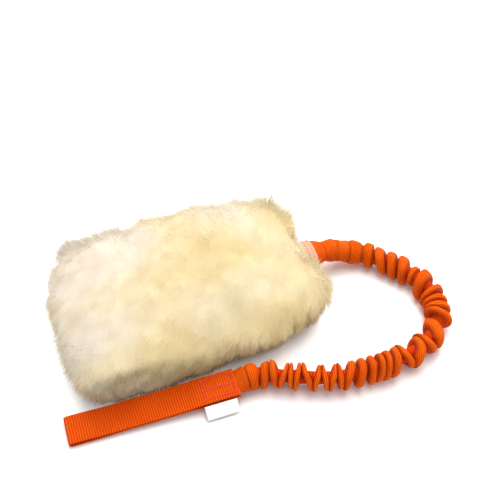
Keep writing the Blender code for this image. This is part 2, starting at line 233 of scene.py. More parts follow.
class Finish:
    """A Principled material with a few short ways to add nodes."""

    def __init__(self, name, roughness=0.8):
        self.material = bpy.data.materials.new(name)
        self.material.use_nodes = True
        self.nodes = self.material.node_tree.nodes
        self.shader = self.nodes["Principled BSDF"]
        self.shader.inputs["Roughness"].default_value = roughness

    def link(self, source, target):
        self.material.node_tree.links.new(source, target)

    def put(self, target, value):
        """Links a socket to an input, or sets the input to a plain value."""
        if isinstance(value, bpy.types.NodeSocket):
            self.link(value, target)
        else:
            target.default_value = value

    def attribute(self, name):
        node = self.nodes.new("ShaderNodeAttribute")
        node.attribute_name = name
        return node.outputs["Fac"]

    def place(self):
        return self.nodes.new("ShaderNodeTexCoord").outputs["Object"]

    def math(self, operation, first, second=0.0):
        node = self.nodes.new("ShaderNodeMath")
        node.operation = operation
        self.put(node.inputs[0], first)
        self.put(node.inputs[1], second)
        return node.outputs[0]

    def stretch(self, vector, scale):
        node = self.nodes.new("ShaderNodeMapping")
        self.put(node.inputs["Vector"], vector)
        node.inputs["Scale"].default_value = scale
        return node.outputs[0]

    def noise(self, scale, detail=3.0, vector=None):
        node = self.nodes.new("ShaderNodeTexNoise")
        node.inputs["Scale"].default_value = scale
        node.inputs["Detail"].default_value = detail
        self.link(vector or self.place(), node.inputs["Vector"])
        return node.outputs["Fac"]

    def ramp(self, value, *stops):
        """A colour ramp; each stop is (position, colour)."""
        node = self.nodes.new("ShaderNodeValToRGB")
        elements = node.color_ramp.elements
        while len(elements) < len(stops):
            elements.new(0.5)
        for element, (position, colour) in zip(elements, stops):
            element.position = position
            element.color = (*colour, 1)
        self.put(node.inputs["Fac"], value)
        return node.outputs["Color"]

    def mix(self, share, first, second, blend="MIX"):
        node = self.nodes.new("ShaderNodeMix")
        node.data_type = "RGBA"
        node.blend_type = blend
        self.put(node.inputs[0], share)
        self.put(node.inputs[6], first if isinstance(first, bpy.types.NodeSocket) else (*first, 1))
        self.put(node.inputs[7], second if isinstance(second, bpy.types.NodeSocket) else (*second, 1))
        return node.outputs[2]

    def colour(self, value):
        self.put(self.shader.inputs["Base Color"], value)

    def bump(self, height, distance, strength=1.0, normal=None):
        node = self.nodes.new("ShaderNodeBump")
        node.inputs["Strength"].default_value = strength
        node.inputs["Distance"].default_value = distance
        self.put(node.inputs["Height"], height)
        if normal is not None:
            self.link(normal, node.inputs["Normal"])
        return node.outputs["Normal"]

    def normal(self, socket):
        self.link(socket, self.shader.inputs["Normal"])

    def let_through(self, share, colour):
        """Passes a share of the light on to the far side, as thin fibres do."""
        glow = self.nodes.new("ShaderNodeBsdfTranslucent")
        self.put(glow.inputs["Color"], colour)
        both = self.nodes.new("ShaderNodeMixShader")
        both.inputs["Fac"].default_value = share
        self.link(self.shader.outputs[0], both.inputs[1])
        self.link(glow.outputs[0], both.inputs[2])
        self.link(both.outputs[0], self.nodes["Material Output"].inputs["Surface"])


def wave_of(finish, coordinate, pitch):
    """A sine along a coordinate in metres, one crest a pitch."""
    turns = finish.math("MULTIPLY", coordinate, 2 * math.pi / pitch)
    return finish.math("SINE", turns)


def wool_material(name, thin):
    """Cream pile: yellower in broad patches, tan at the roots, a little different from clump to clump.
    Painted shade darkens the roots further, makes the near side warmer and darker, and darkens the sides,
    most near the floor.
    """
    finish = Finish(name, 0.9)
    along = finish.attribute("along")
    clump = finish.attribute("clump")
    warmth_and_painted_shade = finish.attribute("warmth_and_painted_shade")
    patch = finish.math("MULTIPLY", finish.noise(22, 2.0), 0.5)
    patch = finish.math("ADD", patch, warmth_and_painted_shade)
    tips = finish.ramp(patch, *WOOL_TIPS)
    roots = finish.ramp(patch, *WOOL_ROOTS_TAN_AND_PAINTED_SHADE)
    # Painted shade: the colour darkens from tip to root, on top of the roots' real tan.
    root_to_tip_and_painted_shade = finish.mix(finish.math("POWER", along, 0.55), roots, tips)
    # The clump attribute darkens towards this: random tufts, plus painted shade on the sides and near the
    # floor.
    tuft_tone_and_painted_shade = finish.ramp(clump, (0.0, WOOL_TUFT_AND_PAINTED_SHADE), (1.0, (1.0, 1.0, 1.0)))
    colour = finish.mix(1.0, root_to_tip_and_painted_shade, tuft_tone_and_painted_shade, "MULTIPLY")
    finish.colour(colour)
    finish.shader.inputs["Specular IOR Level"].default_value = 0.1
    if thin:
        finish.let_through(0.4, colour)
    return finish.material


def webbing_material(name, deep, light, pitch, grain):
    """Ribbed webbing: yarns across the tape, uneven dye, small fibres that catch the light, and painted shade
    that darkens the grooves to deep red.
    """
    finish = Finish(name, 0.62)
    cloth = finish.attribute("cloth")
    ribs = wave_of(finish, cloth, pitch)
    fine = finish.noise(grain, 4.0)
    broad = finish.noise(45, 3.0)
    tone = finish.math("ADD", finish.math("MULTIPLY", ribs, 0.30), finish.math("MULTIPLY", fine, 0.55))
    tone = finish.math("ADD", tone, finish.math("MULTIPLY", broad, 0.45))
    # Painted shade: the colour is mixed towards deep red down in the grooves.
    painted_groove_shade = finish.math("MULTIPLY", finish.attribute("painted_groove_shade"), 0.75)
    finish.colour(finish.mix(painted_groove_shade, finish.ramp(tone, (0.2, deep), (0.85, light)), GROOVE_PAINTED_SHADE_COLOUR))
    rough = finish.math("ADD", finish.math("MULTIPLY", fine, 0.25), 0.48)
    finish.put(finish.shader.inputs["Roughness"], rough)
    coarse = finish.bump(ribs, 0.40 * MM, 1.0)
    finish.normal(finish.bump(fine, 0.12 * MM, 0.5, coarse))
    finish.shader.inputs["Specular IOR Level"].default_value = 0.06
    return finish.material


def mottled_material(name, deep, light, scale, roughness, bump=0.1):
    """A plain material with grain in its colour, roughness and surface, for small or hidden pieces."""
    finish = Finish(name, roughness)
    grain = finish.noise(scale, 5.0)
    finish.colour(finish.ramp(grain, (0.3, deep), (0.7, light)))
    rough = finish.math("ADD", finish.math("MULTIPLY", grain, 0.2), roughness - 0.1)
    finish.put(finish.shader.inputs["Roughness"], rough)
    finish.normal(finish.bump(grain, bump * MM, 0.6))
    return finish.material


def braid_material():
    """Elastic cord: a braided cover, drawn as fine grain and a streaky noise stretched along one axis."""
    finish = Finish("elastic_braid", 0.6)
    grain = finish.noise(900, 4.0)
    weave = finish.noise(1400, 1.0, finish.stretch(finish.place(), (1.0, 1.0, 0.4)))
    tone = finish.math("ADD", finish.math("MULTIPLY", grain, 0.5), finish.math("MULTIPLY", weave, 0.5))
    finish.colour(finish.ramp(tone, (0.35, (0.42, 0.40, 0.36)), (0.65, (0.72, 0.70, 0.65))))
    finish.normal(finish.bump(weave, 0.2 * MM, 0.8))
    return finish.material


def label_material():
    """White woven tape with a faint thread grid and no print."""
    finish = Finish("label_cloth", 0.7)
    place = finish.place()
    across = finish.noise(700, 2.0, finish.stretch(place, (4.0, 0.5, 0.5)))
    down = finish.noise(700, 2.0, finish.stretch(place, (0.5, 4.0, 4.0)))
    tone = finish.math("MULTIPLY", finish.math("ADD", across, down), 0.5)
    finish.colour(finish.ramp(tone, (0.3, (0.74, 0.74, 0.75)), (0.7, (0.86, 0.86, 0.86))))
    finish.normal(finish.bump(tone, 0.08 * MM, 0.5))
    return finish.material


# ---------------------------------------------------------------- sheepskin pad


def pad_shape(directions):
    """Points of the pad's rounded, slightly tapered pillow for directions from its centre."""
    low, high = pad_box
    half = PAD_HALF
    centre = np.array([(low[0] + high[0]) / 2 + PAD_SHIFT, 0.0, PAD_MIDDLE])
    d = np.abs(directions)
    plan = (d[:, 0] ** PAD_SQUARENESS + d[:, 1] ** PAD_SQUARENESS) ** (PAD_ROUNDNESS / PAD_SQUARENESS)
    reach = (plan + d[:, 2] ** PAD_ROUNDNESS) ** (-1 / PAD_ROUNDNESS)
    points = directions * reach[:, None] * half
    points[:, 1] *= 1 - PAD_TAPER * points[:, 0] / half[0]
    near = np.clip(-points[:, 1] / half[1], 0, 1) ** 2
    points -= REAR_CORNER * (np.clip(-points[:, 0] / half[0], 0, 1) ** 2 * near)[:, None]
    near = np.clip(-points[:, 1] / half[1], 0, 1) ** 2
    points[:, 0] += FRONT_CORNER * np.clip(points[:, 0] / half[0], 0, 1) ** 2 * near
    lumps = soft_noise(points, 34 * MM, 3) * 1.8 * MM + soft_noise(points, 15 * MM, 4) * 0.7 * MM
    points += unit(points / half**2) * lumps[:, None]
    points += centre
    points[:, 0] -= CUFF_DENT * near_cuff(points)
    points[:, 2] = np.maximum(points[:, 2], low[2] + 0.6 * MM)
    return clear_of_handle(points, 5.5 * MM, 3 * MM)


def pad_surface():
    """The whole pad as points, triangles and smooth outward normals."""
    ball = bmesh.new()
    bmesh.ops.create_icosphere(ball, subdivisions=6, radius=1)
    ball.verts.ensure_lookup_table()
    points = pad_shape(unit(np.array([vert.co[:] for vert in ball.verts])))
    faces = np.array([[vert.index for vert in face.verts] for face in ball.faces])
    ball.free()
    corners = points[faces]
    face_normals = np.cross(corners[:, 1] - corners[:, 0], corners[:, 2] - corners[:, 0])
    normals = np.zeros_like(points)
    for corner in range(3):
        np.add.at(normals, faces[:, corner], face_normals)
    return points, faces, unit(normals), np.linalg.norm(face_normals, axis=1)


def scatter(surface, count, rng):
    """Random points spread evenly over the pad's surface, with their normals."""
    points, faces, normals, areas = surface
    weights = areas * np.where(points[faces].mean(1)[:, 2] < 2 * MM, 0.05, 1.0)
    chosen = faces[rng.choice(len(faces), count, p=weights / weights.sum())]
    a, b = np.sqrt(rng.random(count)), rng.random(count)
    shares = np.stack([1 - a, a * (1 - b), a * b], -1)[:, :, None]
    return (points[chosen] * shares).sum(1), unit((normals[chosen] * shares).sum(1))


def comb_direction(roots, normals):
    """Which way the pile leans: it swirls softly on top and hangs down at the sides."""
    swirl = np.stack([soft_noise(roots, 60 * MM, 11 + axis) for axis in range(3)], -1) * 0.30
    lean = np.array([-0.65, -0.80, 0.0]) * np.clip(normals[:, 2:], 0, 1)
    hang = np.array([-0.35, 0.0, -1.1]) * np.clip(1.1 - np.abs(normals[:, 2:]), 0, 1)
    lean = swirl + lean + hang
    return lean - normals * (lean * normals).sum(-1, keepdims=True)


def near_cuff(points):
    """How close points are to the cuff's mouth, from 0 well away to 1 on it."""
    offset = (points - joint_place("neck_swing") - np.array([-14, 0, 6]) * MM) / (np.array([22, 24, 20]) * MM)
    return 1 - smoothstep(0.7, 1.25, np.linalg.norm(offset, axis=-1))


def strand_curves(surface, count):
    """Points along each strand (strand, row, axis), with root normals and the clump each belongs to."""
    rng = np.random.default_rng(21)
    roots, normals = scatter(surface, count, rng)
    clump_count = int(surface[3].sum() / 2 / CLUMP_SPACING**2)
    centres, centre_normals = scatter(surface, clump_count, rng)
    centre_lean = comb_direction(centres, centre_normals) + rng.normal(size=(clump_count, 3)) * 0.16
    uneven = 1 + 0.16 * soft_noise(centres, 30 * MM, 17) + rng.normal(size=clump_count) * 0.07
    centre_length = STRAND_LENGTH * uneven * (1 - 0.65 * near_cuff(centres))
    centre_rise = 0.34 + 0.06 * soft_noise(centres, 26 * MM, 19)
    centre_tips = centres + unit(centre_normals * centre_rise[:, None] + centre_lean) * centre_length[:, None]
    tree = KDTree(clump_count)
    for index, centre in enumerate(centres):
        tree.insert(centre, index)
    tree.balance()
    clump = np.array([tree.find(root)[1] for root in roots])
    lean = comb_direction(roots, normals) + rng.normal(size=(count, 3)) * 0.22
    length = centre_length[clump] * rng.uniform(0.55, 1.25, count)
    free_tips = roots + unit(normals * centre_rise[clump][:, None] + lean) * length[:, None]
    side = 1 - smoothstep(0.35, 0.85, normals[:, 2])
    tufted = np.clip(0.10 + 0.34 * side + 0.10 * soft_noise(roots, 40 * MM, 23), 0.04, 0.6)
    gather = (tufted * rng.uniform(0.5, 1.2, count))[:, None]
    tips = free_tips * (1 - gather) + centre_tips[clump] * gather
    middles = roots + normals * length[:, None] * 0.26 + (tips - roots) * 0.36
    middles += rng.normal(size=(count, 3)) * 0.4 * MM
    roots = roots - normals * 2.0 * MM
    along = np.linspace(0, 1, STRAND_ROWS)[None, :, None]
    curves = roots[:, None] * (1 - along) ** 2 + 2 * middles[:, None] * along * (1 - along)
    curves += tips[:, None] * along**2
    curves[:, :, 2] = np.maximum(curves[:, :, 2], 0.4 * MM)
    for axis, limit in ((1, PILE_FAR), (2, PILE_TOP)):
        curves[:, :, axis] -= PILE_EDGE * np.logaddexp(0, (curves[:, :, axis] - limit) / PILE_EDGE)
    return clear_of_handle(curves, 1.4 * MM, 0.6 * MM), normals, clump, rng


def clear_of_handle(points, margin, softness):
    """Keeps the pile behind the hand loop that lies against it."""
    offset = points - handle.origin
    along, across = offset @ handle.x, offset @ handle.y
    limit = -WEB_WIDTH / 2 - margin
    beside = smoothstep(2 * MM, 10 * MM, along) * (1 - smoothstep(150 * MM, 158 * MM, along))
    move = softness * np.logaddexp(0, (across - limit) / softness) * beside * (across < WEB_WIDTH)
    return points - move[..., None] * handle.y


def wool_warmth_and_painted_shade(points):
    """How yellow the wool is: palest at the rear and far side, warmest over the middle and front, with the
    near side painted warmer and darker as shade.
    """
    front = smoothstep(-95 * MM, 0.0, points[:, 0])
    far = smoothstep(15 * MM, 60 * MM, points[:, 1])
    # Painted shade: the near side, turned away from the back lamp, is made warmer and darker.
    near = smoothstep(-35 * MM, -62 * MM, points[:, 1]) * (0.35 + 0.65 * front)
    return 0.34 * front - 0.26 * far + 0.30 * near + 0.16 * soft_noise(points, 50 * MM, 31)


def strand_pieces(surface, material):
    """Mesh ribbons for all strands, dealt out to pieces along the pad."""
    curves, normals, clump, rng = strand_curves(surface, STRAND_COUNT)
    count = len(curves)
    tangents = np.gradient(curves, axis=1)
    facing = normals + rng.normal(size=(count, 3)) * 0.22
    across = unit(np.cross(tangents, facing[:, None]))
    width = STRAND_HALF_WIDTHS[None, :, None] * rng.uniform(0.7, 1.3, (count, 1, 1))
    verts = np.stack([curves - across * width, curves + across * width], axis=2)
    ribbon_normals = unit(np.cross(across, tangents))
    turned = (ribbon_normals * normals[:, None]).sum(-1)[:, STRAND_ROWS // 2] < 0
    ribbon_normals[turned] *= -1
    verts[turned] = verts[turned][:, :, ::-1]
    lift = np.array([0, 0, 0.5]) * smoothstep(-0.6, 0.0, normals[:, 2:])
    shading = unit(ribbon_normals * 0.14 + (normals + lift)[:, None])
    shading = np.repeat(shading[:, :, None], 2, axis=2)
    # Painted shade: strands on the sides are darkened more than on top (less on the far side and front), and
    # more again near the floor. The random clump and strand part is real tuft tone.
    side = 1 - smoothstep(0.30, 0.95, normals[:, 2])
    side *= 1 - 0.85 * smoothstep(-0.1, 0.5, normals[:, 1])
    side *= 1 - 0.60 * smoothstep(0.1, 0.8, normals[:, 0])
    low = 1 - smoothstep(4 * MM, 34 * MM, curves[:, 0, 2])
    tufts_and_painted_shade = 0.55 * rng.random(clump.max() + 1)[clump] + 0.45 * rng.random(count)
    tufts_and_painted_shade = 1 - (1 - tufts_and_painted_shade) * (0.45 + 0.55 * side) - 0.05 * low * side
    warmth_and_painted_shade = wool_warmth_and_painted_shade(curves[:, 0])
    order = np.argsort(curves[:, 0, 0], kind="stable")
    made = []
    for part, chosen in enumerate(np.array_split(order, math.ceil(count / STRANDS_PER_PIECE)), 1):
        quads = grid_faces(STRAND_ROWS, 2, False)
        faces = (np.arange(len(chosen))[:, None, None] * (2 * STRAND_ROWS) + quads).reshape(-1, 4)
        piece = mesh_object(f"sheepskin_pile_{part}", verts[chosen], faces, material)
        piece.data.normals_split_custom_set_from_vertices(shading[chosen].reshape(-1, 3).tolist())
        rows = np.repeat(np.linspace(0, 1, STRAND_ROWS), 2)
        set_attribute(piece, "along", np.tile(rows, len(chosen)))
        set_attribute(piece, "clump", np.repeat(tufts_and_painted_shade[chosen], 2 * STRAND_ROWS))
        set_attribute(piece, "warmth_and_painted_shade", np.repeat(warmth_and_painted_shade[chosen], 2 * STRAND_ROWS))
        piece.visible_shadow = False
        made.append(piece)
    return made


def pad_base(surface, material):
    """The dense under-pile of the upper and lower skins, which meet at the edge seam."""
    points, faces, _, _ = surface
    level = points[faces][:, :, 2].mean(1)
    seam = joint_place("pad_bend")[2]
    made = []
    for name, chosen in (("sheepskin_top", level >= seam), ("sheepskin_bottom", level < seam)):
        used, index = np.unique(faces[chosen], return_inverse=True)
        piece = mesh_object(name, points[used], index.reshape(-1, 3), material)
        set_attribute(piece, "along", np.full(len(used), 0.45))
        set_attribute(piece, "clump", np.full(len(used), 0.8))
        set_attribute(piece, "warmth_and_painted_shade", wool_warmth_and_painted_shade(points[used]))
        made.append(piece)
    return made


def make_pad():
    surface = pad_surface()
    pieces = pad_base(surface, wool_material("wool_under", False))
    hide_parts("wool_top_front", "wool_top_rear")
    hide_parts("wool_bottom_front", "wool_bottom_rear")
    bend = joint_place("pad_bend")
    for piece in pieces + strand_pieces(surface, wool_material("wool_pile", True)):
        start, end = bend.copy(), bend.copy()
        start[0] += BEND_HALF
        end[0] -= BEND_HALF
        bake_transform(piece)


# ---------------------------------------------------------------- gathered sleeve


class Path:
    """The strap's smooth centre line through the joints, by distance from the neck swivel."""

    def __init__(self, knots):
        knots = np.array(knots)
        steps = np.diff(knots, axis=0)
        lengths = np.linalg.norm(steps, axis=1)
        directions = steps / lengths[:, None]
        tangents = unit(np.vstack([directions[:1], directions[1:] + directions[:-1], directions[-1:]]))
        self.knots = np.concatenate([[0], np.cumsum(lengths)])
        points, places = [], []
        for index, length in enumerate(lengths):
            t = np.linspace(0, 1, 60, endpoint=False)[:, None]
            a, b = knots[index], knots[index + 1]
            m, n = tangents[index] * length, tangents[index + 1] * length
            point = (2 * t**3 - 3 * t**2 + 1) * a + (t**3 - 2 * t**2 + t) * m
            point += (3 * t**2 - 2 * t**3) * b + (t**3 - t**2) * n
            points.append(point)
            places.append(self.knots[index] + length * t[:, 0])
        self.points = np.vstack([*points, knots[-1:]])
        self.places = np.append(np.concatenate(places), self.knots[-1])
        self.tangents = unit(np.gradient(self.points, self.places, axis=0))

    def at(self, places):
        """Centre points, tangents, sideways and upward directions at distances of any array shape."""
        def look(table):
            return np.stack([np.interp(places, self.places, table[:, axis]) for axis in range(3)], -1)

        tangent = unit(look(self.tangents))
        side = unit(np.cross((0, 0, 1), tangent))
        return look(self.points), tangent, side, np.cross(tangent, side)


def strap_path():
    """Knots at every pivot, with the first and last stretches carried on straight."""
    pivots = [joint_place("neck_swing"), joint_place("bungee_curve")]
    pivots += [joint_place(f"bungee_curve_{number:02d}") for number in range(2, 7)]
    pivots += [joint_place("bungee_tail_curve")]
    pivots += [joint_place(f"bungee_tail_curve_{number:02d}") for number in range(8, 11)]
    pivots += [joint_place("handle_swing")]
    slope = np.array([-math.cos(CUFF_SLOPE), 0, math.sin(CUFF_SLOPE)])
    before = pivots[0] + slope * 20 * MM
    after = pivots[-1] + np.array(joint("handle_twist")["axis"]) * 30 * MM
    path = Path([before, *pivots, after])
    path.places = path.places - path.knots[1]
    path.knots = path.knots[1:-1] - path.knots[1]
    return path


def fold_rings():
    """Places and radii of every ring of the sleeve, row by row round the tube, with each row's sideways
    offset and groove share for the painted groove shade.
    """
    rng = np.random.default_rng(8)
    angles = np.linspace(0, 2 * math.pi, AROUND, endpoint=False)
    crests, radii = [], []
    _, tangent, side, up = path.at(np.array([fold[0] * MM for fold in FOLDS]))
    across = unit(np.cross(view_direction, tangent))
    lean_angle = np.arctan2((across * up).sum(-1), (across * side).sum(-1))
    for index, (place, lean, radius, _, _) in enumerate(FOLDS):
        wobble = rng.normal() * 0.15
        wave = np.cos(angles - lean_angle[index] - wobble)
        crests.append((place + lean * wave) * MM)
        gathered = lean or radius > 11
        uneven = rng.normal() * 0.03 * np.cos(2 * angles + rng.uniform(0, 6)) if gathered else 0
        radii.append(radius * MM * (1 + uneven) * np.ones(AROUND))
    places, sizes, offsets, painted_groove_shade_shares = [], [], [], []
    for index in range(len(FOLDS) - 1):
        gap = crests[index + 1] - crests[index]
        depth = (FOLDS[index][3] + FOLDS[index + 1][3]) / 2 * MM
        drop = depth * (0.22 + 0.78 * np.clip(gap / (7 * MM), 0, 1))
        bottom = (radii[index] + radii[index + 1]) / 2 - drop
        bottom = np.maximum(bottom, np.minimum(VALLEY_RADIUS, np.minimum(radii[index], radii[index + 1])))
        for half in (0, 1):
            crest, radius = crests[index + half], radii[index + half]
            _, lean, _, _, thick = FOLDS[index + half]
            cap = np.minimum(0.92 * gap / 2, thick * MM)
            shares = np.linspace(0, 1, FOLD_ROWS + 1)
            shares = shares[:-1] if half == 0 else shares[:0:-1]
            for share in shares:
                turn = min(share / CAP_SHARE, 1) * math.pi / 2
                rest = max(share - CAP_SHARE, 0) / (1 - CAP_SHARE)
                away = cap * math.sin(turn) ** 0.7 + (gap / 2 - cap) * rest
                fall = 1 - max(math.cos(turn), 0) ** 0.75
                places.append(crest + away * (1 if half == 0 else -1))
                sizes.append(radius + (bottom - radius) * fall)
                offsets.append(lean * (1 - share) * 0.15 * MM)
                # How far down a groove each point lies, for the painted groove shade.
                painted_groove_shade_shares.append(np.clip(fall**1.5 * drop / (5 * MM), 0, 1))
    places.append(crests[-1])
    sizes.append(radii[-1])
    offsets.append(0.0)
    painted_groove_shade_shares.append(np.zeros(AROUND))
    return angles, np.array(places), np.array(sizes), np.array(offsets), np.array(painted_groove_shade_shares)


def sleeve_grid():
    """The whole sleeve as a grid of points, with cloth lengths and mean places for its rows."""
    angles, places, sizes, offsets, painted_groove_shade_shares = fold_rings()
    centre, tangent, side, up = path.at(places)
    mean = places.mean(1)
    neck = 1 - smoothstep(-4 * MM, 9 * MM, mean)
    tail = smoothstep(318 * MM, 328.5 * MM, mean)
    wide = 1 + 0.18 * neck
    tall = 1 - 0.5 * neck - 0.88 * tail
    in_neck = 1 - smoothstep(34 * MM, 46 * MM, mean)
    tall = tall * (1 - 0.14 * in_neck)
    face_angle = np.arctan2(-(view_direction * up).sum(-1), -(view_direction * side).sum(-1))
    ridge = np.cos(2 * math.pi * (mean - 3 * MM) / (18.5 * MM))[:, None]
    sizes = sizes + 0.75 * MM * in_neck[:, None] * ridge * np.cos(2 * (angles[None] - face_angle))
    across = unit(np.cross(view_direction, tangent))
    points = centre + side * (sizes * np.cos(angles) * wide[:, None])[..., None]
    points = points + up * (sizes * np.sin(angles) * tall[:, None])[..., None]
    aside = smoothstep(42 * MM, 62 * MM, mean) * 2.3 - 1.0
    aside = aside * (1 - smoothstep(298 * MM, 308 * MM, mean)) * (1 - neck)
    points = points + across * (offsets + aside * MM)[:, None, None]
    rough = soft_noise(points.reshape(-1, 3), 9 * MM, 40).reshape(points.shape[:2]) * 0.35 * MM
    points = points + unit(points - centre) * rough[..., None]
    floor = 0.5 * MM
    points[..., 2] = floor + np.logaddexp(0, (points[..., 2] - floor) / (0.5 * MM)) * 0.5 * MM
    steps = np.linalg.norm(np.diff(points, axis=0), axis=-1).mean(1)
    cloth = np.concatenate([[0], np.cumsum(steps)])
    return points, cloth, mean, places.max(1) - places.min(1), painted_groove_shade_shares


def row_near(mean, spread, place, after=0, margin=0.0):
    """The row closest to a place, preferring rows square to the strap, and well past an earlier cut."""
    score = np.abs(mean - place) + 0.6 * spread
    score[: after + 1] = np.inf
    score[mean < mean[after] + margin] = np.inf
    return int(np.argmin(score))


def sleeve_pieces(material):
    """Cuts the sleeve into pieces at each pivot and stretches between them."""
    points, cloth, mean, spread, painted_groove_shade_shares = sleeve_grid()
    normals = grid_normals(points, True)
    knots = path.knots
    links = len(knots) - 2

    def add(name, first, last, a, b, *nodes):
        chosen = slice(first, last + 1)
        piece = mesh_object(name, points[chosen], grid_faces(last + 1 - first, AROUND, True), material)
        piece.data.normals_split_custom_set_from_vertices(normals[chosen].reshape(-1, 3).tolist())
        set_attribute(piece, "cloth", np.repeat(cloth[chosen], AROUND))
        set_attribute(piece, "painted_groove_shade", painted_groove_shade_shares[chosen])
        if b is None:
            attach(piece, a)
        else:
            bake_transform(piece)
        if nodes:
            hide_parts(*nodes)

    row = [row_near(mean, spread, place) for place in (0, 15 * MM)]
    add("sleeve_root", 0, row[0], "pad_front", "neck_swivel")
    add("sleeve_neck_bend", row[0], row[1], "neck_swivel", "neck")
    cuts = [row[1]]
    for number in range(1, links + 1):
        cuts.append(row_near(mean, spread, knots[number] - 6.5 * MM, cuts[-1], 8 * MM))
        cuts.append(row_near(mean, spread, knots[number] + 7 * MM, cuts[-1], 8 * MM))
    cuts.append(row_near(mean, spread, 296 * MM, cuts[-1]))
    cuts = cuts[1:]
    add("sleeve_neck", row[1], cuts[0], "neck", None, "neck_sleeve")
    for number in range(1, links + 1):
        first, second, third = cuts[2 * number - 2 : 2 * number + 1]
        before = "neck" if number == 1 else f"link_{number - 1:02d}_cord"
        sleeve, cord = f"link_{number:02d}_sleeve", f"link_{number:02d}_cord"
        add(f"sleeve_bend_{number:02d}", first, second, before, sleeve, f"sleeve_{number:02d}")
        add(f"sleeve_gather_{number:02d}", second, third, sleeve, cord)
    tail = [row_near(mean, spread, place) for place in (308 * MM, 318 * MM)]
    last_cord = f"link_{links:02d}_cord"
    add("sleeve_tail_swing", cuts[-1], tail[0], last_cord, "handle_swivel")
    add("sleeve_tail_lift", tail[0], tail[1], "handle_swivel", "handle_bead", "sleeve_end")
    add("sleeve_tail_twist", tail[1], len(mean) - 1, "handle_bead", "handle_neck")


# ---------------------------------------------------------------- cuff


def cuff_outline(angles):
    """Sideways and upward reach of the cuff's flattened round."""
    wide = CUFF_HALF_WIDTH * np.sign(np.cos(angles)) * np.abs(np.cos(angles)) ** 0.8
    tall = CUFF_HALF_HEIGHT * np.sign(np.sin(angles)) * np.abs(np.sin(angles)) ** 0.9
    return wide, tall


def make_cuff(material, thread):
    """The flattened apricot cuff that the sleeve is sewn into, with a rolled rim and two rows of stitches."""
    forward = np.array([math.cos(CUFF_SLOPE), 0, -math.sin(CUFF_SLOPE)])
    side = np.array([0.0, 1.0, 0.0])
    up = np.cross(forward, side)
    pivot_point = joint_place("neck_swing") - forward * CUFF_BACK
    profile = [(-34, 1.0), (-26, 1.0), (-18, 1.0), (-12, 1.01), (-8, 1.0), (-5, 0.99), (-3.4, 1.0)]
    profile += [(-2.2, 1.04), (-1.2, 1.06), (-0.6, 1.02), (-0.7, 0.95), (-1.6, 0.90), (-4, 0.88), (-10, 0.88)]
    angles = np.linspace(0, 2 * math.pi, 72, endpoint=False)
    wide, tall = cuff_outline(angles)
    rows = []
    for place, scale in profile:
        slant = CUFF_SLANT * np.cos(angles)
        puckers = 1 + 0.02 * np.cos(9 * angles + place)
        centre = pivot_point + forward * place * MM
        ring = centre + side * (wide * scale * puckers)[:, None] + up * (tall * scale * puckers)[:, None]
        rows.append(ring + forward * slant[:, None])
    grid = np.array(rows)
    piece = mesh_object("cuff_tape", grid, grid_faces(len(rows), len(angles), True)[:, ::-1], material)
    steps = np.linalg.norm(np.diff(grid, axis=0), axis=-1).mean(1)
    set_attribute(piece, "cloth", np.repeat(np.concatenate([[0], np.cumsum(steps)]), len(angles)))
    soften(piece, 1)
    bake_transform(piece)
    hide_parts("neck_cuff")
    stitches = []
    for place in (-3.6, -7.2):
        centre = pivot_point + forward * place * MM
        for number in range(CUFF_STITCHES):
            ends = (number + np.array([0.15, 0.5, 0.85])) * 2 * math.pi / CUFF_STITCHES
            x, z = (reach * 1.02 for reach in cuff_outline(ends))
            slant = CUFF_SLANT * np.cos(ends)
            stitches.append(centre + side * x[:, None] + up * z[:, None] + forward * slant[:, None])
    seam = thread_piece("cuff_stitches", stitches, 0.32 * MM, thread)
    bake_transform(seam)


def soften(piece, levels):
    modifier = piece.modifiers.new("soft", "SUBSURF")
    modifier.levels = levels
    modifier.render_levels = levels


def thread_piece(name, lines, radius, material, sides=6):
    """Short threads, each a tube that tapers into the cloth at both ends."""
    verts, faces = [], []
    angles = np.linspace(0, 2 * math.pi, sides, endpoint=False)
    for line in lines:
        line = np.asarray(line, float)
        tangent = unit(np.gradient(line, axis=0))
        side = unit(np.cross(tangent, (0.13, 0.21, 0.97)))
        up = np.cross(side, tangent)
        count = len(line)
        taper = np.ones(count)
        taper[[0, -1]] = 0.35
        ring = side[:, None] * np.cos(angles)[None, :, None] + up[:, None] * np.sin(angles)[None, :, None]
        grid = line[:, None] + ring * (radius * taper)[:, None, None]
        base = sum(len(block) for block in verts)
        verts.append(grid.reshape(-1, 3))
        faces += (grid_faces(count, sides, True) + base).tolist()
        faces.append([base + number for number in reversed(range(sides))])
        faces.append([base + (count - 1) * sides + number for number in range(sides)])
    mesh = bpy.data.meshes.new(name)
    mesh.from_pydata(np.vstack(verts).tolist(), [], faces)
    mesh.materials.append(material)
    mesh.shade_smooth()
    return link_object(name, mesh)


# ---------------------------------------------------------------- hand loop


class HandleFrame:
    """The hand loop's own axes: x along the loop, y towards its near edge, z up through its plies."""

    def __init__(self):
        self.origin = joint_place("handle_swing")
        self.x = unit(joint("handle_twist")["axis"])
        self.y = unit(-np.array(joint("handle_lift")["axis"]))
        self.z = np.cross(self.x, self.y)

    def world(self, x, y, z):
        x, y, z = np.broadcast_arrays(x, y, z)
        return self.origin + x[..., None] * self.x + y[..., None] * self.y + z[..., None] * self.z


def ply_level(x):
    """Half the distance between the plies' middles: held apart by the sleeve's tongue and by the fold."""
    near = 1 - smoothstep(48 * MM, 62 * MM, x)
    far = smoothstep(112 * MM, 146 * MM, x)
    return (1.0 + 0.9 * np.maximum(near, far)) * MM


def strap_sag(x, y):
    """The loop's soft unevenness: it dips a little between its ends and its edges lift here and there."""
    dip = 0.5 * MM * np.sin(x / (150 * MM) * math.pi)
    ripple = soft_noise(np.stack([x, y * 0.5, np.zeros_like(x)], -1), 40 * MM, 61) * 0.30 * MM
    return ripple - dip


